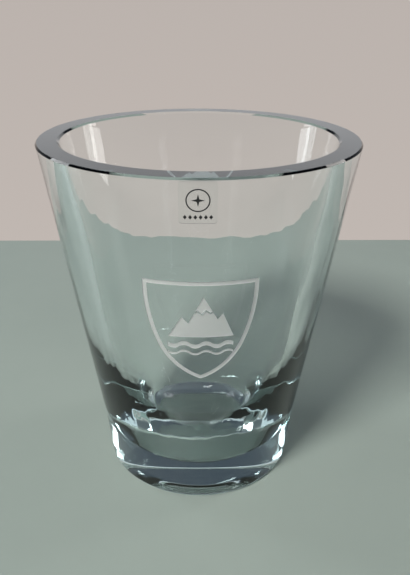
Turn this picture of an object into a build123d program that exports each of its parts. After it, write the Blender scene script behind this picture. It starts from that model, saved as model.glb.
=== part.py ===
from build123d import *
import os
from math import atan, cos, radians, sin

# Thick-walled tapered crystal beaker with an engraved shield and a clear stick-on label.
# Units are mm. +Z is up, the origin is the centre of the flat bottom, and the engraved
# front faces -Y.

# glass body, outside
HEIGHT = 121.0
RIM_RADIUS = 52.0
HEEL_RADIUS = 36.5  # where the cone meets the steeper foot
HEEL_HEIGHT = 18.0
HEEL_BLEND = 30.0
FOOT_RADIUS = 34.8
FOOT_ROUNDING = 1.5
RIM_CHAMFER = 0.6

# glass body, inside
INNER_RIM_RADIUS = 44.7
SHOULDER_RADIUS = 31.0  # where the inner cone would meet the steeper cone of the bowl
SHOULDER_HEIGHT = 36.0
SHOULDER_BLEND = 150.0
FLOOR_RADIUS = 16.0  # where the cone of the bowl would meet the plane of the floor
FLOOR_HEIGHT = 6.0
FLOOR_BLEND = 12.0

# engraving on the front of the outer cone
ENGRAVING_DEPTH = 0.2
ENGRAVING_CLEARANCE = 0.5  # how far the cutting solids stand out of the glass
SHIELD_TOP = 90.4
SHIELD_TIP = 55.2
SHIELD_HALF_WIDTH = 16.5
SHIELD_LINE = 1.25
SHIELD_CHIN = 68.5  # where the flank arc hands over to the chin arc
SHIELD_CHIN_HALF_WIDTH = 12.9
SHIELD_FLANK_RADIUS = 54.8
PEAK_LINE = [
    (-9.6, 71.2),
    (-5.6, 78.4),
    (-3.7, 76.2),
    (0.8, 85.4),
    (4.9, 77.6),
    (6.5, 79.6),
    (9.8, 71.2),
]
SNOW_LINE = [
    (-2.3, 79.4),
    (-1.0, 80.3),
    (0.2, 79.0),
    (1.5, 80.4),
    (2.8, 79.5),
    (4.4, 80.4),
]
SNOW_GAP = 0.55
WAVE_HALF_LENGTH = 9.8
WAVE_SWING = 0.6
WAVE_ARCS = 6
WAVES = [(68.3, 1.5), (65.4, 0.8)]  # height of the middle line, thickness

# clear label under the rim: adhesive, film, then ink
LABEL_X = -0.8
LABEL_Z = 114.3
LABEL_WIDTH = 10.0
LABEL_HEIGHT = 11.6
LABEL_CORNER = 0.8
ADHESIVE_THICKNESS = 0.05
FILM_THICKNESS = 0.10
INK_THICKNESS = 0.04
RING_Z = 115.05
RING_RADIUS = 3.2
RING_LINE = 0.34
STAR_REACH = 1.75
STAR_WAIST = 0.5
STAR_CORNERS = 8
MARK_Z = 110.35
MARK_COUNT = 6
MARK_PITCH = 1.36
MARK_HALF_WIDTH = 0.5
MARK_HALF_HEIGHT = 0.65

CONE_SLOPE = (RIM_RADIUS - HEEL_RADIUS) / (HEIGHT - HEEL_HEIGHT)
CONE_COS = cos(atan(CONE_SLOPE))
FRONT_REACH = RIM_RADIUS + 20.0  # well past the glass
BAND_MARGIN = 1.0  # above and below the shape that a band is cut to


def outer_radius(z):
    """Radius of the outer cone at a height."""
    return RIM_RADIUS - (HEIGHT - z) * CONE_SLOPE


def cone_shell(low, high, z_bottom, z_top):
    """Band that follows the outer cone, from low to high above its surface."""
    tall = z_top - z_bottom
    solids = []
    for lift in (low, high):
        grow = lift / CONE_COS
        solids.append(
            Solid.make_cone(
                outer_radius(z_bottom) + grow, outer_radius(z_top) + grow, tall
            ).moved(Location((0, 0, z_bottom)))
        )
    return solids[1] - solids[0]


def seen_from_front(shape):
    """Prism from the axis out through the front wall, for a shape drawn in X and Z."""
    return extrude(Plane.XZ * shape, FRONT_REACH)


def on_cone(shape, low, high):
    """The part of the band on the outer cone that a front view shape covers."""
    box = shape.bounding_box()
    band = cone_shell(low, high, box.min.Y - BAND_MARGIN, box.max.Y + BAND_MARGIN)
    return seen_from_front(shape) & band


def closed_face(points):
    """Flat face inside a closed run of straight lines."""
    return make_face(Polyline(*points, close=True))


def shield_face():
    """Plain heater shield: level top, sides of two smooth arcs, pointed foot."""
    tip = (0, SHIELD_TIP)
    edges = []
    for side in (1, -1):
        corner = (side * SHIELD_HALF_WIDTH, SHIELD_TOP)
        joint = (side * SHIELD_CHIN_HALF_WIDTH, SHIELD_CHIN)
        flank = RadiusArc(corner, joint, side * SHIELD_FLANK_RADIUS)
        edges += [flank, TangentArc(joint, tip, tangent=flank % 1)]
    edges.append(Line(edges[0] @ 0, edges[2] @ 0))
    return make_face(edges)


def shield_outline():
    """The engraved line that runs round the shield."""
    outer = shield_face()
    return outer - offset(outer, amount=-SHIELD_LINE, kind=Kind.INTERSECTION)


def peaks():
    """Range of three peaks with a clear snow line across the tallest one."""
    upper = [(x, z + SNOW_GAP) for x, z in SNOW_LINE]
    return closed_face(PEAK_LINE) - closed_face(upper + SNOW_LINE[::-1])


def wave(middle, thickness):
    """One undulating band of alternating arcs, the same thickness all along."""
    length = 2 * WAVE_HALF_LENGTH / WAVE_ARCS
    edges = []
    for side in (1, -1):
        z = middle + side * thickness / 2
        for i in range(WAVE_ARCS):
            start = i * length - WAVE_HALF_LENGTH
            swing = WAVE_SWING if i % 2 else -WAVE_SWING
            edges.append(SagittaArc((start, z), (start + length, z), swing))
    for x in (-WAVE_HALF_LENGTH, WAVE_HALF_LENGTH):
        edges.append(Line((x, middle - thickness / 2), (x, middle + thickness / 2)))
    return make_face(edges)


def engraving():
    """Everything that is blasted into the front, as solids to take away."""
    shapes = [shield_outline(), peaks()] + [wave(z, t) for z, t in WAVES]
    return [on_cone(shape, -ENGRAVING_DEPTH, ENGRAVING_CLEARANCE) for shape in shapes]


def glass_profile():
    """Half section of the glass, drawn in X and Z."""
    inner_slope = (INNER_RIM_RADIUS - SHOULDER_RADIUS) / (HEIGHT - SHOULDER_HEIGHT)
    outline = [
        (0, 0),
        (FOOT_RADIUS, 0),
        (HEEL_RADIUS, HEEL_HEIGHT),
        (outer_radius(HEIGHT - RIM_CHAMFER), HEIGHT - RIM_CHAMFER),
        (RIM_RADIUS - RIM_CHAMFER, HEIGHT),
        (INNER_RIM_RADIUS + RIM_CHAMFER, HEIGHT),
        (INNER_RIM_RADIUS - RIM_CHAMFER * inner_slope, HEIGHT - RIM_CHAMFER),
        (SHOULDER_RADIUS, SHOULDER_HEIGHT),
        (FLOOR_RADIUS, FLOOR_HEIGHT),
        (0, FLOOR_HEIGHT),
    ]
    blends = {
        (FOOT_RADIUS, 0): FOOT_ROUNDING,
        (HEEL_RADIUS, HEEL_HEIGHT): HEEL_BLEND,
        (SHOULDER_RADIUS, SHOULDER_HEIGHT): SHOULDER_BLEND,
        (FLOOR_RADIUS, FLOOR_HEIGHT): FLOOR_BLEND,
    }
    profile = closed_face(outline)
    for (x, z), radius in blends.items():
        corner = profile.vertices().sort_by_distance((x, z, 0))[0]
        profile = fillet(corner, radius)
    return profile


def glass_body():
    """The one piece of glass: thick foot, tapered wall, ground rim, engraving."""
    body = revolve(Plane.XZ * glass_profile(), Axis.Z)
    for recess in engraving():
        body = body - recess
    return body


def label_layer(low, high):
    """One layer of the label, from low to high above the glass."""
    sheet = RectangleRounded(LABEL_WIDTH, LABEL_HEIGHT, LABEL_CORNER)
    return on_cone(Pos(LABEL_X, LABEL_Z) * sheet, low, high)


def ink(shape):
    """A patch of ink on top of the film."""
    low = ADHESIVE_THICKNESS + FILM_THICKNESS
    return on_cone(shape, low, low + INK_THICKNESS)


def label_ring():
    """Printed ring."""
    ring = Circle(RING_RADIUS) - Circle(RING_RADIUS - RING_LINE)
    return ink(Pos(LABEL_X, RING_Z) * ring)


def label_star():
    """Printed four-pointed star inside the ring."""
    points = []
    for i in range(STAR_CORNERS):
        reach = STAR_WAIST if i % 2 else STAR_REACH
        turn = radians(360 * i / STAR_CORNERS)
        points.append((LABEL_X + reach * cos(turn), RING_Z + reach * sin(turn)))
    return ink(closed_face(points))


def label_mark(index):
    """One printed lozenge of the row under the ring."""
    x = LABEL_X + (index - (MARK_COUNT - 1) / 2) * MARK_PITCH
    points = [
        (x - MARK_HALF_WIDTH, MARK_Z),
        (x, MARK_Z - MARK_HALF_HEIGHT),
        (x + MARK_HALF_WIDTH, MARK_Z),
        (x, MARK_Z + MARK_HALF_HEIGHT),
    ]
    return ink(closed_face(points))


film_top = ADHESIVE_THICKNESS + FILM_THICKNESS
parts = {
    "glass_body": glass_body(),
    "label_adhesive": label_layer(0, ADHESIVE_THICKNESS),
    "label_film": label_layer(ADHESIVE_THICKNESS, film_top),
    "label_ring": label_ring(),
    "label_star": label_star(),
}
for number in range(MARK_COUNT):
    parts[f"label_mark_{number + 1}"] = label_mark(number)

os.makedirs("parts", exist_ok=True)
for node, shape in parts.items():
    solids = shape.solids()
    assert len(solids) == 1, (node, len(solids))
    export_step(solids[0], f"parts/{node}.step")
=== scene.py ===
import bpy
from math import atan, ceil, cos, hypot, pi, radians, sin, sqrt, tan

from mathutils import Euler, Matrix, Vector, noise
from mathutils.geometry import delaunay_2d_cdt


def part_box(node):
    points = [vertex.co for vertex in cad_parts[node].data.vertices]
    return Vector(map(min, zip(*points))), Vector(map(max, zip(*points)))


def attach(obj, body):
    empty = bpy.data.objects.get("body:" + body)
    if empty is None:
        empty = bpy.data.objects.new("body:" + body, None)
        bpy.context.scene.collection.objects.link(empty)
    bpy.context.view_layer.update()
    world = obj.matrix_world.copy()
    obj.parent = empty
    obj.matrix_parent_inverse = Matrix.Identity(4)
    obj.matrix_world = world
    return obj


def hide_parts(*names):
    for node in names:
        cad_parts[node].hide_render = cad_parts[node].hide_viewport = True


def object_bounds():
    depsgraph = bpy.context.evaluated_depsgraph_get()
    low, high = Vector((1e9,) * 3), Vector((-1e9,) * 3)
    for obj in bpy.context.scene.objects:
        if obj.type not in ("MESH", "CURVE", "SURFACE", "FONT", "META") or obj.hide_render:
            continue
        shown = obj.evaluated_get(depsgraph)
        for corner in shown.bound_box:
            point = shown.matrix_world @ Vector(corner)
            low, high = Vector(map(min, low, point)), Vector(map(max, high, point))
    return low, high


# Looks of a thick tapered crystal beaker vase with a sandblasted shield on its front and a
# clear printed label under the rim. Lengths in the constants are mm, heights are above the
# flat bottom, and the decorated front faces -Y. Blender's own units are metres.

MM = 0.001
# glass section
HEEL_RADIUS = 36.5
HEEL_HEIGHT = 18.0
HEEL_BLEND = 30.0
FOOT_RADIUS = 34.8
FOOT_ROUNDING = 1.5
RIM_CHAMFER = 0.6
INNER_RIM_RADIUS = 44.7
SHOULDER_RADIUS = 31.0
SHOULDER_HEIGHT = 36.0
SHOULDER_BLEND = 150.0
FLOOR_RADIUS = 16.0
FLOOR_HEIGHT = 6.0
FLOOR_BLEND = 12.0
SECTION_STEP = 1.35  # longest run between two points of the section
ARC_STEPS = 14
TURN_STEPS = 360
SHARP_EDGE = 25  # degrees between two faces that don't shade into each other

# unevenness of the inner wall. Each kind of wave has its reach, how fine it is round the wall
# and up the wall, and where in the noise field it starts.
SWELL = (0.10, 1.6, 0.022, (3.1, 1.7))
RIPPLE = (0.07, 6.0, 0.06, (0.0, 9.0))
FLUTE = (0.02, 20.0, 0.012, (7.0, 0.0))
DIMPLE = (0.05, 10.0, 0.22, (5.0, 0.0))
TRUE_RIM = 14.0  # the waves fade out over this height below the rim
TRUE_CENTRE = 10.0  # and over this radius at the middle of the floor
BOWL_TOP = 46.0  # the dimples fade in over the next length below this height
BOWL_FADE = 12.0

# sandblasted shield
ENGRAVING_DEPTH = 0.2
SHIELD_TOP = 90.4
SHIELD_TIP = 55.2
SHIELD_HALF_WIDTH = 16.5
SHIELD_LINE = 1.25
SHIELD_CHIN = 68.5
SHIELD_CHIN_HALF_WIDTH = 12.9
SHIELD_FLANK_RADIUS = 54.8
PEAK_LINE = [
    (-9.6, 71.2), (-5.6, 78.4), (-3.7, 76.2), (0.8, 85.4), (4.9, 77.6), (6.5, 79.6), (9.8, 71.2),
]
SUMMIT = 3  # which point of the line is the highest peak
SNOW_LINE = [
    (-2.3, 79.4), (-1.0, 80.3), (0.2, 79.0), (1.5, 80.4), (2.8, 79.5), (4.4, 80.4),
]
SNOW_GAP = 0.55
WAVE_HALF_LENGTH = 9.8
WAVE_SWING = 0.6
WAVE_ARCS = 6
WAVES = [(68.3, 1.5), (65.4, 0.8)]
PANEL_LOW = 51.0  # the stretch of the front wall that is meshed around the shield
PANEL_HIGH = 94.0
PANEL_HALF_TURN = 27  # in turn steps
OUTLINE_STEP = 0.35

# label
LABEL_X = -0.8
LABEL_Z = 114.3
LABEL_WIDTH = 10.0
LABEL_HEIGHT = 11.6
LABEL_CORNER = 0.8
CORNER_STEPS = 6
ADHESIVE_TOP = 0.05
ADHESIVE_INSET = 0.05  # from the edge of the film
FILM_TOP = 0.15
INK_TOP = 0.19
BEDDING = 0.02  # how far the film reaches into the glass, so that no air is left between
INK_BEDDING = 0.004  # and the ink into the film
SHEET_STEP = 1.0  # between the points inside the outline of a label piece
SHEET_CLEAR = 0.45  # from those points to the outline
SHEET_EDGE = 40  # degrees between two faces that don't shade into each other
RING_Z = 115.05
RING_RADIUS = 3.2
RING_LINE = 0.34
RING_STEPS = 24  # on top of the steps that the length of a circle gives
STAR_REACH = 1.75
STAR_WAIST = 0.5
STAR_CORNERS = 8
MARK_Z = 110.35
MARK_COUNT = 6
MARK_PITCH = 1.36
MARK_HALF_WIDTH = 0.5
MARK_HALF_HEIGHT = 0.65

# studio, in metres and degrees
AIR_GAP = 0.0002  # between the polished bottom and the floor, so that the bottom reflects
FLOOR_REACH = 1.4  # to the front and the sides
FLOOR_BACK = 0.22  # from the axis of the glass to the rear edge
GLASS_MIDDLE = (0.0, 0.0, 0.05)
# name, place, size, power and colour of each soft box
SOFT_BOXES = [
    ("key", (-0.55, -0.78, 1.10), (0.36, 0.36), 17.0, (1.0, 0.97, 0.93)),
    ("left_strip", (-0.75, 0.35, 0.32), (0.20, 0.60), 1.6, (0.95, 0.98, 1.0)),
    ("right_strip", (0.75, 0.30, 0.32), (0.20, 0.60), 1.6, (1.0, 0.97, 0.94)),
    ("rear", (0.0, 1.30, 0.36), (1.60, 0.40), 1.3, (0.97, 0.98, 1.0)),
]
CAMERA_PLACE = (-0.0018, -0.2019, 0.1623)
CAMERA_LENS = 38.6
CAMERA_DOWN = 25.44
CAMERA_TURN = -1.1
CAMERA_ROLL = 0.3
LIGHT_BOUNCES = 24

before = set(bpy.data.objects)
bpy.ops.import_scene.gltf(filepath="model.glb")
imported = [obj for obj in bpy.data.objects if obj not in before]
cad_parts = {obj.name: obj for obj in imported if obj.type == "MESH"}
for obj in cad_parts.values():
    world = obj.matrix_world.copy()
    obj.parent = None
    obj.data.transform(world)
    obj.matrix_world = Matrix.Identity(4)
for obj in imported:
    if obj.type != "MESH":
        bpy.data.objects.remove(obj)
cad_low, cad_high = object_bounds()
_, body_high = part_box("glass_body")
HEIGHT = body_high.z / MM
WIDEST_RADIUS = body_high.x / MM  # at the lower edge of the bevel round the rim
CONE_SLOPE = (WIDEST_RADIUS - HEEL_RADIUS) / (HEIGHT - RIM_CHAMFER - HEEL_HEIGHT)
CONE_COS = cos(atan(CONE_SLOPE))
RIM_RADIUS = HEEL_RADIUS + CONE_SLOPE * (HEIGHT - HEEL_HEIGHT)


# ---------------------------------------------------------------- section of the glass


def outer_radius(z):
    """Radius of the outer cone at a height."""
    return HEEL_RADIUS + (z - HEEL_HEIGHT) * CONE_SLOPE


def rounded_corner(before, corner, after, radius):
    """Points of the arc that rounds off one corner of a flat outline."""
    a = (before - corner).normalized()
    b = (after - corner).normalized()
    half = a.angle(b) / 2
    centre = corner + (a + b).normalized() * (radius / sin(half))
    reach = radius / tan(half)
    start = corner + a * reach - centre
    end = corner + b * reach - centre
    turn = start.angle(end)
    points = []
    for i in range(ARC_STEPS + 1):
        t = i / ARC_STEPS
        mix = start * sin((1 - t) * turn) + end * sin(t * turn)
        points.append(centre + mix / sin(turn))
    return points


def divided(points, step):
    """The same open line with its long runs cut into steps."""
    result = [points[0]]
    for a, b in zip(points, points[1:]):
        count = max(1, ceil((b - a).length / step))
        result += [a.lerp(b, (i + 1) / count) for i in range(count)]
    return result


def outer_section():
    """Radius and height from the middle of the bottom up to the outer rim bevel."""
    heel = Vector((HEEL_RADIUS, HEEL_HEIGHT))
    foot = Vector((FOOT_RADIUS, 0))
    bevel = Vector((outer_radius(HEIGHT - RIM_CHAMFER), HEIGHT - RIM_CHAMFER))
    points = [Vector((0, 0))]
    points += rounded_corner(Vector((0, 0)), foot, heel, FOOT_ROUNDING)
    points += rounded_corner(foot, heel, bevel, HEEL_BLEND)
    points.append(Vector((outer_radius(PANEL_LOW), PANEL_LOW)))
    points.append(Vector((outer_radius(PANEL_HIGH), PANEL_HIGH)))
    points.append(bevel)
    return divided(points, SECTION_STEP)


def inner_section():
    """Radius and height from the outer edge of the rim down to the middle of the floor."""
    shoulder = Vector((SHOULDER_RADIUS, SHOULDER_HEIGHT))
    slope = (INNER_RIM_RADIUS - SHOULDER_RADIUS) / (HEIGHT - SHOULDER_HEIGHT)
    lip = Vector((INNER_RIM_RADIUS - RIM_CHAMFER * slope, HEIGHT - RIM_CHAMFER))
    corner = Vector((FLOOR_RADIUS, FLOOR_HEIGHT))
    centre = Vector((0, FLOOR_HEIGHT))
    points = [
        Vector((RIM_RADIUS - RIM_CHAMFER, HEIGHT)),
        Vector((INNER_RIM_RADIUS + RIM_CHAMFER, HEIGHT)),
        lip,
    ]
    points += rounded_corner(lip, shoulder, corner, SHOULDER_BLEND)
    points += rounded_corner(shoulder, corner, centre, FLOOR_BLEND)
    points.append(centre)
    return divided(points, SECTION_STEP)


# ---------------------------------------------------------------- flat shapes seen from the front


def divided_loop(points):
    """The same closed outline with its long runs cut into steps."""
    points = [Vector(p) for p in points]
    return divided(points + points[:1], OUTLINE_STEP)[:-1]


def arc(start, end, radius):
    """Points of the shorter arc between two points, bulging to the right of the way there
    when the radius is positive."""
    a, b = Vector(start), Vector(end)
    way = b - a
    side = Vector((way.y, -way.x)).normalized()
    sag = sqrt(radius * radius - way.length_squared / 4)
    bulge = 1 if radius > 0 else -1
    centre = a.lerp(b, 0.5) - side * (sag * bulge)
    start_arm, end_arm = a - centre, b - centre
    turn = start_arm.angle(end_arm)
    count = max(4, ceil(abs(radius) * turn / OUTLINE_STEP))
    points = []
    for i in range(count + 1):
        t = i / count
        mix = start_arm * sin((1 - t) * turn) + end_arm * sin(t * turn)
        points.append(centre + mix / sin(turn))
    return points


def tangent_arc(start, way, end):
    """Points of the arc that leaves start in the direction way and ends at end."""
    a, b = Vector(start), Vector(end)
    side = Vector((way.y, -way.x)).normalized()
    chord = b - a
    across = chord.dot(side)
    radius = chord.length_squared / (2 * across)
    return arc(start, end, -radius)


def shield_side(inset):
    """One side of the shield, from its top corner to its tip, set in by a distance."""
    corner = Vector((SHIELD_HALF_WIDTH, SHIELD_TOP))
    joint = Vector((SHIELD_CHIN_HALF_WIDTH, SHIELD_CHIN))
    flank = arc(corner, joint, -SHIELD_FLANK_RADIUS)
    chin = tangent_arc(joint, flank[-1] - flank[-2], (0, SHIELD_TIP))
    line = flank + chin[1:]
    if not inset:
        return line
    moved = []
    for before, here, after in zip([line[0]] + line, line, line[1:] + [line[-1]]):
        way = after - before
        moved.append(here + Vector((way.y, -way.x)).normalized() * inset)
    top = SHIELD_TOP - inset
    moved = [p for p in moved if p.y < top and p.x > 0]
    first = moved[0]
    slope = (first.x - moved[1].x) / (first.y - moved[1].y)
    last, previous = moved[-1], moved[-2]
    drop = (last.y - previous.y) / (last.x - previous.x)
    corner = Vector((first.x + (top - first.y) * slope, top))
    tip = Vector((0, last.y - last.x * drop))
    return [corner] + moved + [tip]


def shield_loop(inset):
    """Closed outline of the whole shield."""
    right = shield_side(inset)
    left = [Vector((-p.x, p.y)) for p in right[-2::-1]]
    return divided_loop(right + left)


def meets_slope(foot, run):
    """Where a jagged run crosses the slope from foot to the summit."""
    a, b = Vector(foot), Vector(PEAK_LINE[SUMMIT])
    for p, q in zip(run, run[1:]):
        p, q = Vector(p), Vector(q)
        side_p = (b - a).cross(p - a)
        side_q = (b - a).cross(q - a)
        if side_p * side_q <= 0:
            return p.lerp(q, side_p / (side_p - side_q))
    raise ValueError("the snow line misses the slope")


def across_summit(run):
    """A jagged run from where it meets the left slope of the summit to where it meets the right."""
    left = meets_slope(PEAK_LINE[SUMMIT - 1], run)
    right = meets_slope(PEAK_LINE[SUMMIT + 1], run[::-1])
    return [left] + [Vector(p) for p in run if left.x < p[0] < right.x] + [right]


def mountain_loops():
    """Closed outlines of the snowcap and of the range below it."""
    peaks = [Vector(p) for p in PEAK_LINE]
    high = across_summit([(x, z + SNOW_GAP) for x, z in SNOW_LINE])
    cap = [high[0], peaks[SUMMIT]] + high[:0:-1]
    base = peaks[:SUMMIT] + across_summit(SNOW_LINE) + peaks[SUMMIT + 1:]
    return [divided_loop(cap), divided_loop(base)]


def wave_loop(middle, thickness):
    """Closed outline of one undulating band."""
    length = 2 * WAVE_HALF_LENGTH / WAVE_ARCS
    radius = (length * length / 4 + WAVE_SWING * WAVE_SWING) / (2 * WAVE_SWING)
    line = []
    for i in range(WAVE_ARCS):
        start = (i * length - WAVE_HALF_LENGTH, middle)
        end = (start[0] + length, middle)
        bend = radius if i % 2 == 0 else -radius
        line += arc(start, end, bend)[:-1]
    line.append(Vector((WAVE_HALF_LENGTH, middle)))
    half = Vector((0, thickness / 2))
    return divided_loop([p + half for p in line] + [p - half for p in line[::-1]])


def circle_loop(x, z, radius):
    """Closed outline of a circle."""
    count = ceil(2 * pi * radius / OUTLINE_STEP) + RING_STEPS
    turns = [2 * pi * i / count for i in range(count)]
    return [Vector((x + radius * cos(t), z + radius * sin(t))) for t in turns]


def label_loop(inset):
    """Closed outline of the label, a rectangle with rounded corners."""
    half_x = LABEL_WIDTH / 2 - LABEL_CORNER
    half_z = LABEL_HEIGHT / 2 - LABEL_CORNER
    reach = LABEL_CORNER - inset
    points = []
    for quarter, (sx, sz) in enumerate([(1, 1), (-1, 1), (-1, -1), (1, -1)]):
        for i in range(CORNER_STEPS + 1):
            turn = pi / 2 * (quarter + i / CORNER_STEPS)
            points.append((
                LABEL_X + sx * half_x + reach * cos(turn),
                LABEL_Z + sz * half_z + reach * sin(turn),
            ))
    return divided_loop(points)


def star_loop():
    """Closed outline of the four-pointed star."""
    points = []
    for i in range(STAR_CORNERS):
        reach = STAR_WAIST if i % 2 else STAR_REACH
        turn = radians(360 * i / STAR_CORNERS)
        points.append((LABEL_X + reach * cos(turn), RING_Z + reach * sin(turn)))
    return divided_loop(points)


def mark_loop(index):
    """Closed outline of one lozenge."""
    x = LABEL_X + (index - (MARK_COUNT - 1) / 2) * MARK_PITCH
    return divided_loop([
        (x - MARK_HALF_WIDTH, MARK_Z),
        (x, MARK_Z - MARK_HALF_HEIGHT),
        (x + MARK_HALF_WIDTH, MARK_Z),
        (x, MARK_Z + MARK_HALF_HEIGHT),
    ])


# ---------------------------------------------------------------- meshes


def inside(point, loop):
    """True if a point lies inside a closed outline."""
    x, z = point
    hit = False
    before = loop[-1]
    for here in loop:
        if (here.y > z) != (before.y > z):
            cross = here.x + (z - here.y) * (before.x - here.x) / (before.y - here.y)
            if x < cross:
                hit = not hit
        before = here
    return hit


def covered(point, loops):
    """True if a point lies inside an odd number of outlines."""
    return sum(inside(point, loop) for loop in loops) % 2 == 1


def triangulate(fixed, loops):
    """Triangles over fixed points that respect the closed outlines."""
    points = [Vector(p) for p in fixed]
    edges = []
    for loop in loops:
        first = len(points)
        points += loop
        count = len(loop)
        edges += [(first + i, first + (i + 1) % count) for i in range(count)]
    made = delaunay_2d_cdt(points, edges, [], 0, 1e-6, True)
    verts, _, faces, origins = made[:4]
    return verts, faces, origins


def centre_of(face, points):
    """Middle of a triangle."""
    return sum((points[i] for i in face), Vector((0, 0))) / 3


def to_cone(point, lift):
    """A front view point placed on the front of the outer cone, lifted off it."""
    x, z = point
    radius = outer_radius(z)
    y = -sqrt(radius * radius - x * x)
    out = Vector((x / radius * CONE_COS, y / radius * CONE_COS, -CONE_SLOPE * CONE_COS))
    return Vector((x, y, z)) + out * lift


def new_object(name, verts, faces, material):
    """An object from points in mm."""
    mesh = bpy.data.meshes.new(name)
    mesh.from_pydata([tuple(v * MM) for v in verts], [], faces)
    mesh.materials.append(material)
    mesh.update()
    piece = bpy.data.objects.new(name, mesh)
    bpy.context.scene.collection.objects.link(piece)
    return piece


def sheet_grid(loops):
    """Evenly spaced points that lie inside the outlines and clear of them."""
    xs = [p.x for p in loops[0]]
    zs = [p.y for p in loops[0]]
    grid = []
    for i in range(ceil((max(xs) - min(xs)) / SHEET_STEP)):
        for j in range(ceil((max(zs) - min(zs)) / SHEET_STEP)):
            p = Vector((min(xs) + (i + 0.5) * SHEET_STEP, min(zs) + (j + 0.5) * SHEET_STEP))
            near = min((p - q).length for loop in loops for q in loop)
            if near > SHEET_CLEAR and covered(p, loops):
                grid.append(p)
    return grid


def border_edges(faces):
    """The directed edges that only one of the triangles has."""
    sides = {(f[i], f[(i + 1) % 3]) for f in faces for i in range(3)}
    return [(a, b) for a, b in sides if (b, a) not in sides]


def cone_sheet(name, loops, low, high, material):
    """Closed thin solid that lies on the cone and is cut to the outlines."""
    flat, triangles, _ = triangulate(sheet_grid(loops), loops)
    kept = []
    for face in triangles:
        if covered(centre_of(face, flat), loops):
            kept.append(tuple(face))
    count = len(flat)
    verts = [to_cone(p, high) for p in flat] + [to_cone(p, low) for p in flat]
    faces = list(kept) + [tuple(i + count for i in face[::-1]) for face in kept]
    faces += [(b, a, a + count, b + count) for a, b in border_edges(kept)]
    piece = new_object(name, verts, faces, material)
    piece.data.shade_smooth()
    piece.data.set_sharp_from_angle(angle=radians(SHEET_EDGE))
    return piece


def noise_wave(kind, turn, z):
    """One kind of unevenness at a place on the wall, in mm."""
    reach, round_wall, up_wall, (x, y) = kind
    place = Vector((cos(turn) * round_wall + x, sin(turn) * round_wall + y, z * up_wall))
    return reach * noise.noise(place)


def waver(turn, z):
    """Unevenness of the inner wall, in mm: long swells and finer waves that fade out at the rim,
    and dimples where the bowl turns in."""
    fade = min(1.0, max(0.0, (HEIGHT - z) / TRUE_RIM))
    bowl = min(1.0, max(0.0, (BOWL_TOP - z) / BOWL_FADE))
    waves = sum(noise_wave(kind, turn, z) for kind in (SWELL, RIPPLE, FLUTE))
    return fade * waves + bowl * noise_wave(DIMPLE, turn, z)


def turned_points(outer, inner):
    """Points of the two sections turned about the axis, and where the ring of each row starts."""
    rows = outer + inner
    verts = [Vector((0, 0, rows[0].y))]
    ring_start = {}
    for row, point in enumerate(rows):
        if point.x == 0:
            continue
        ring_start[row] = len(verts)
        for i in range(TURN_STEPS):
            turn = 2 * pi * i / TURN_STEPS - pi / 2
            radius = point.x
            if row >= len(outer):
                radius += waver(turn, point.y) * min(1.0, radius / TRUE_CENTRE)
            verts.append(Vector((radius * cos(turn), radius * sin(turn), point.y)))
    verts.append(Vector((0, 0, rows[-1].y)))
    return verts, ring_start


def turned_faces(ring_start, panel_rows, top):
    """Faces between the rings, except in the panel, and the fans that close both ends."""
    low_row, high_row = panel_rows
    order = sorted(ring_start)
    first, last = ring_start[order[0]], ring_start[order[-1]]
    faces = []
    for i in range(TURN_STEPS):
        j = (i + 1) % TURN_STEPS
        faces.append((0, first + j, first + i))
        faces.append((top, last + i, last + j))
    for row, above in zip(order, order[1:]):
        for i in range(TURN_STEPS):
            j = (i + 1) % TURN_STEPS
            in_panel = i < PANEL_HALF_TURN or i >= TURN_STEPS - PANEL_HALF_TURN
            if low_row <= row < high_row and in_panel:
                continue
            a, b = ring_start[row], ring_start[above]
            faces.append((a + i, a + j, b + j, b + i))
    return faces


def build_glass(material):
    """The glass: a fine turned mesh whose front panel carries the recessed shield."""
    outer = outer_section()
    verts, ring_start = turned_points(outer, inner_section())
    top = len(verts) - 1
    panel_rows = []
    for height in (PANEL_LOW, PANEL_HIGH):
        panel_rows.append(min(range(len(outer)), key=lambda k: abs(outer[k].y - height)))
    faces = turned_faces(ring_start, panel_rows, top)
    panel_faces, frosted = add_panel(verts, ring_start, panel_rows)
    piece = new_object("glass", verts, faces + panel_faces, material)
    finish_glass_mesh(piece, len(faces), frosted)
    return piece


def panel_grid(verts, ring_start, rows, loops):
    """Front view points of the turned mesh that the panel keeps, with their indices."""
    fixed, indices = [], []
    for row in range(rows[0], rows[1] + 1):
        for column in range(-PANEL_HALF_TURN, PANEL_HALF_TURN + 1):
            index = ring_start[row] + column % TURN_STEPS
            p = Vector((verts[index].x, verts[index].z))
            edge = row in rows or abs(column) == PANEL_HALF_TURN
            clear = min((p - q).length for loop in loops for q in loop) > OUTLINE_STEP
            if edge or clear:
                fixed.append(p)
                indices.append(index)
    return fixed, indices


def add_panel(verts, ring_start, panel_rows):
    """Triangles of the decorated panel; new points are appended to verts. Returns the faces
    and, for each, whether it is sandblasted."""
    loops = [shield_loop(0.0), shield_loop(SHIELD_LINE)]
    loops += mountain_loops() + [wave_loop(z, t) for z, t in WAVES]
    fixed, indices = panel_grid(verts, ring_start, panel_rows, loops)
    flat, triangles, origins = triangulate(fixed, loops)
    place = []
    for p, origin in zip(flat, origins):
        known = [k for k in origin if k < len(fixed)]
        if known:
            place.append(indices[known[0]])
        else:
            place.append(len(verts))
            verts.append(to_cone(p, 0))
    deep, faces, frosted, sunk = {}, [], [], []
    for face in triangles:
        blasted = covered(centre_of(face, flat), loops)
        frosted.append(blasted)
        if not blasted:
            faces.append(tuple(place[i] for i in face))
            continue
        sunk.append(face)
        for i in face:
            if i not in deep:
                deep[i] = len(verts)
                verts.append(to_cone(flat[i], -ENGRAVING_DEPTH))
        faces.append(tuple(deep[i] for i in face))
    for a, b in border_edges(sunk):
        faces.append((place[a], place[b], deep[b], deep[a]))
        frosted.append(True)
    return faces, frosted


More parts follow.
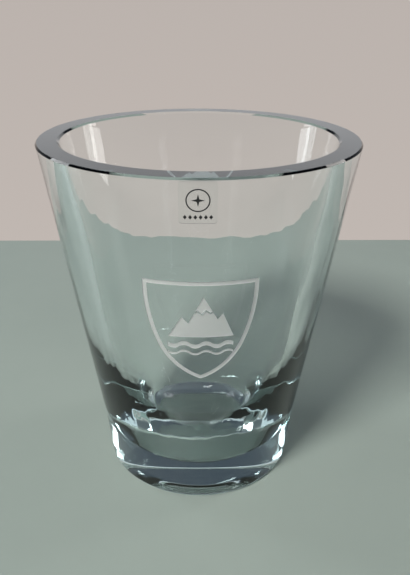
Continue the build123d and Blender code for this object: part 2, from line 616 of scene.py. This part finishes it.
def finish_glass_mesh(piece, turned_count, frosted):
    """Sharp ground edges, exact normals on the panel and the mask of the sandblasting."""
    mesh = piece.data
    mesh.shade_smooth()
    mesh.set_sharp_from_angle(angle=radians(SHARP_EDGE))
    normals = [Vector(n.vector) for n in mesh.corner_normals]
    mask = mesh.attributes.new("sandblast", "FLOAT", "FACE")
    for polygon in mesh.polygons[turned_count:]:
        blasted = frosted[polygon.index - turned_count]
        mask.data[polygon.index].value = 1.0 if blasted else 0.0
        if len(polygon.vertices) == 4:
            continue
        for k in polygon.loop_indices:
            v = mesh.vertices[mesh.loops[k].vertex_index].co
            radius = hypot(v.x, v.y)
            normals[k] = Vector((v.x / radius, v.y / radius, -CONE_SLOPE)) * CONE_COS
    mesh.normals_split_custom_set([tuple(n) for n in normals])


# ---------------------------------------------------------------- materials


def principled(name, **values):
    """A material with one Principled shader whose plain sockets are set."""
    material = bpy.data.materials.new(name)
    material.use_nodes = True
    shader = material.node_tree.nodes["Principled BSDF"]
    for socket, value in values.items():
        shader.inputs[socket.replace("_", " ")].default_value = value
    return material, shader


def add_node(tree, kind, **inputs):
    """A node with plain values on its inputs."""
    node = tree.nodes.new(kind)
    for socket, value in inputs.items():
        node.inputs[socket.replace("_", " ")].default_value = value
    return node


def crystal():
    """Clear crystal glass, faintly blue-green in depth, rough where it is sandblasted."""
    material, shader = principled(
        "crystal",
        Base_Color=(1.0, 1.0, 1.0, 1.0),
        Transmission_Weight=1.0,
        IOR=1.52,
        Roughness=0.0,
    )
    tree = material.node_tree
    mask = tree.nodes.new("ShaderNodeAttribute")
    mask.attribute_name = "sandblast"
    rough = tree.nodes.new("ShaderNodeMapRange")
    rough.inputs["To Min"].default_value = 0.0
    rough.inputs["To Max"].default_value = 0.62
    tree.links.new(mask.outputs["Fac"], rough.inputs["Value"])
    tree.links.new(rough.outputs["Result"], shader.inputs["Roughness"])
    clear = tree.nodes.new("ShaderNodeMapRange")
    clear.inputs["To Min"].default_value = 1.0
    clear.inputs["To Max"].default_value = 0.50
    tree.links.new(mask.outputs["Fac"], clear.inputs["Value"])
    tree.links.new(clear.outputs["Result"], shader.inputs["Transmission Weight"])
    depth = add_node(tree, "ShaderNodeVolumeAbsorption", Color=(0.50, 0.89, 0.91, 1.0), Density=8.0)
    tree.links.new(depth.outputs["Volume"], tree.nodes["Material Output"].inputs["Volume"])
    return material


def adhesive_layer():
    """Soft clear adhesive with a slight haze."""
    material, _ = principled(
        "label_glue",
        Base_Color=(0.98, 0.98, 0.97, 1.0),
        Transmission_Weight=1.0,
        IOR=1.0,
        Roughness=0.05,
        Alpha=0.35,
    )
    return material


def clear_film():
    """Clear label film, a little less polished than the glass."""
    material, _ = principled(
        "label_film_clear",
        Base_Color=(0.97, 0.98, 0.98, 1.0),
        Transmission_Weight=1.0,
        IOR=1.30,
        Roughness=0.05,
    )
    return material


def black_ink():
    """Printed black ink with a fine grain."""
    material, shader = principled("label_ink", Roughness=0.5)
    tree = material.node_tree
    place = tree.nodes.new("ShaderNodeTexCoord")
    grain = add_node(tree, "ShaderNodeTexNoise", Scale=9000.0, Detail=3.0)
    tone = tree.nodes.new("ShaderNodeValToRGB")
    tone.color_ramp.elements[0].color = (0.004, 0.004, 0.005, 1.0)
    tone.color_ramp.elements[1].color = (0.022, 0.022, 0.025, 1.0)
    tree.links.new(place.outputs["Object"], grain.inputs["Vector"])
    tree.links.new(grain.outputs["Fac"], tone.inputs["Fac"])
    tree.links.new(tone.outputs["Color"], shader.inputs["Base Color"])
    return material


def floor_paint():
    """Sage-grey paint with a faint mottle."""
    material, shader = principled("floor_paint", Roughness=0.5)
    tree = material.node_tree
    place = tree.nodes.new("ShaderNodeTexCoord")
    mottle = add_node(tree, "ShaderNodeTexNoise", Scale=14.0, Detail=6.0, Roughness=0.6)
    tone = tree.nodes.new("ShaderNodeValToRGB")
    tone.color_ramp.elements[0].position = 0.3
    tone.color_ramp.elements[1].position = 0.75
    tone.color_ramp.elements[0].color = (0.360, 0.430, 0.390, 1.0)
    tone.color_ramp.elements[1].color = (0.385, 0.455, 0.412, 1.0)
    tree.links.new(place.outputs["Object"], mottle.inputs["Vector"])
    tree.links.new(mottle.outputs["Fac"], tone.inputs["Fac"])
    tree.links.new(tone.outputs["Color"], shader.inputs["Base Color"])
    return material


# ---------------------------------------------------------------- studio


def floor():
    """Plain floor with a straight rear edge."""
    height = cad_low.z - AIR_GAP
    corners = [
        (-FLOOR_REACH, -FLOOR_REACH, height),
        (FLOOR_REACH, -FLOOR_REACH, height),
        (FLOOR_REACH, FLOOR_BACK, height),
        (-FLOOR_REACH, FLOOR_BACK, height),
    ]
    mesh = bpy.data.meshes.new("floor")
    mesh.from_pydata(corners, [], [(0, 1, 2, 3)])
    mesh.materials.append(floor_paint())
    sheet = bpy.data.objects.new("floor", mesh)
    bpy.context.scene.collection.objects.link(sheet)


def ramp(tree, stops):
    """A colour ramp with the given positions and colours."""
    node = tree.nodes.new("ShaderNodeValToRGB")
    elements = node.color_ramp.elements
    while len(elements) < len(stops):
        elements.new(0.5)
    for element, (position, colour) in zip(elements, stops):
        element.position = position
        element.color = (*colour, 1.0)
    return node


# Plain studio by height: 0 is straight down, 0.5 level, 1 straight up.
STUDIO = [
    (0.00, (0.58, 0.52, 0.48)),
    (0.50, (0.50, 0.45, 0.42)),
    (0.57, (0.16, 0.17, 0.18)),
    (0.70, (0.06, 0.07, 0.09)),
    (1.00, (0.05, 0.06, 0.08)),
]


def surroundings():
    """Pale lit backdrop all round, fading softly to a dim ceiling."""
    world = bpy.data.worlds.new("studio")
    bpy.context.scene.world = world
    world.use_nodes = True
    tree = world.node_tree
    place = tree.nodes.new("ShaderNodeTexCoord")
    split = tree.nodes.new("ShaderNodeSeparateXYZ")
    height = add_node(tree, "ShaderNodeMapRange", From_Min=-1.0)
    grade = ramp(tree, STUDIO)
    tree.links.new(place.outputs["Generated"], split.inputs["Vector"])
    tree.links.new(split.outputs["Z"], height.inputs["Value"])
    tree.links.new(height.outputs["Result"], grade.inputs["Fac"])
    tree.links.new(grade.outputs["Color"], tree.nodes["Background"].inputs["Color"])


def soft_box(name, place, size, power, colour):
    """A rectangular soft box that faces the glass and isn't itself in the picture."""
    lamp = bpy.data.lights.new(name, "AREA")
    lamp.shape = "RECTANGLE"
    lamp.size, lamp.size_y = size
    lamp.energy = power
    lamp.color = colour
    holder = bpy.data.objects.new(name, lamp)
    holder.location = place
    holder.rotation_mode = "QUATERNION"
    way = Vector(GLASS_MIDDLE) - Vector(place)
    holder.rotation_quaternion = way.to_track_quat("-Z", "Y")
    holder.visible_camera = False
    bpy.context.scene.collection.objects.link(holder)


def camera():
    """Camera in front of the glass and a little higher than its rim, looking down at it."""
    data = bpy.data.cameras.new("view")
    data.sensor_width = 36.0
    data.lens = CAMERA_LENS
    data.clip_start = 0.01
    eye = bpy.data.objects.new("view", data)
    eye.location = CAMERA_PLACE
    aim = Euler((radians(90 - CAMERA_DOWN), 0, radians(CAMERA_TURN))).to_matrix()
    roll = Matrix.Rotation(radians(CAMERA_ROLL), 3, "Z")
    eye.rotation_euler = (aim @ roll).to_euler()
    bpy.context.scene.collection.objects.link(eye)
    bpy.context.scene.camera = eye


def placed(piece, node):
    """Makes a piece ride with the object in place of its CAD node."""
    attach(piece, "root")
    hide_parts(node)


def label():
    """The label on the glass: adhesive, film and the printed pieces."""
    glue = [label_loop(ADHESIVE_INSET)]
    adhesive = cone_sheet("adhesive", glue, -BEDDING / 2, ADHESIVE_TOP, adhesive_layer())
    placed(adhesive, "label_adhesive")
    film = cone_sheet("film", [label_loop(0.0)], -BEDDING, FILM_TOP, clear_film())
    placed(film, "label_film")
    ring = [circle_loop(LABEL_X, RING_Z, radius) for radius in (RING_RADIUS, RING_RADIUS - RING_LINE)]
    prints = {"ring": ring, "star": [star_loop()]}
    for number in range(MARK_COUNT):
        prints[f"mark_{number + 1}"] = [mark_loop(number)]
    ink = black_ink()
    for name, loops in prints.items():
        piece = cone_sheet(f"print_{name}", loops, FILM_TOP - INK_BEDDING, INK_TOP, ink)
        placed(piece, f"label_{name}")


placed(build_glass(crystal()), "glass_body")
label()

floor()
surroundings()
for name, place, size, power, colour in SOFT_BOXES:
    soft_box(name, place, size, power, colour)
bpy.context.scene.view_settings.view_transform = "Standard"
camera()

settings = bpy.context.scene.cycles
settings.max_bounces = LIGHT_BOUNCES
settings.transmission_bounces = LIGHT_BOUNCES
settings.transparent_max_bounces = LIGHT_BOUNCES
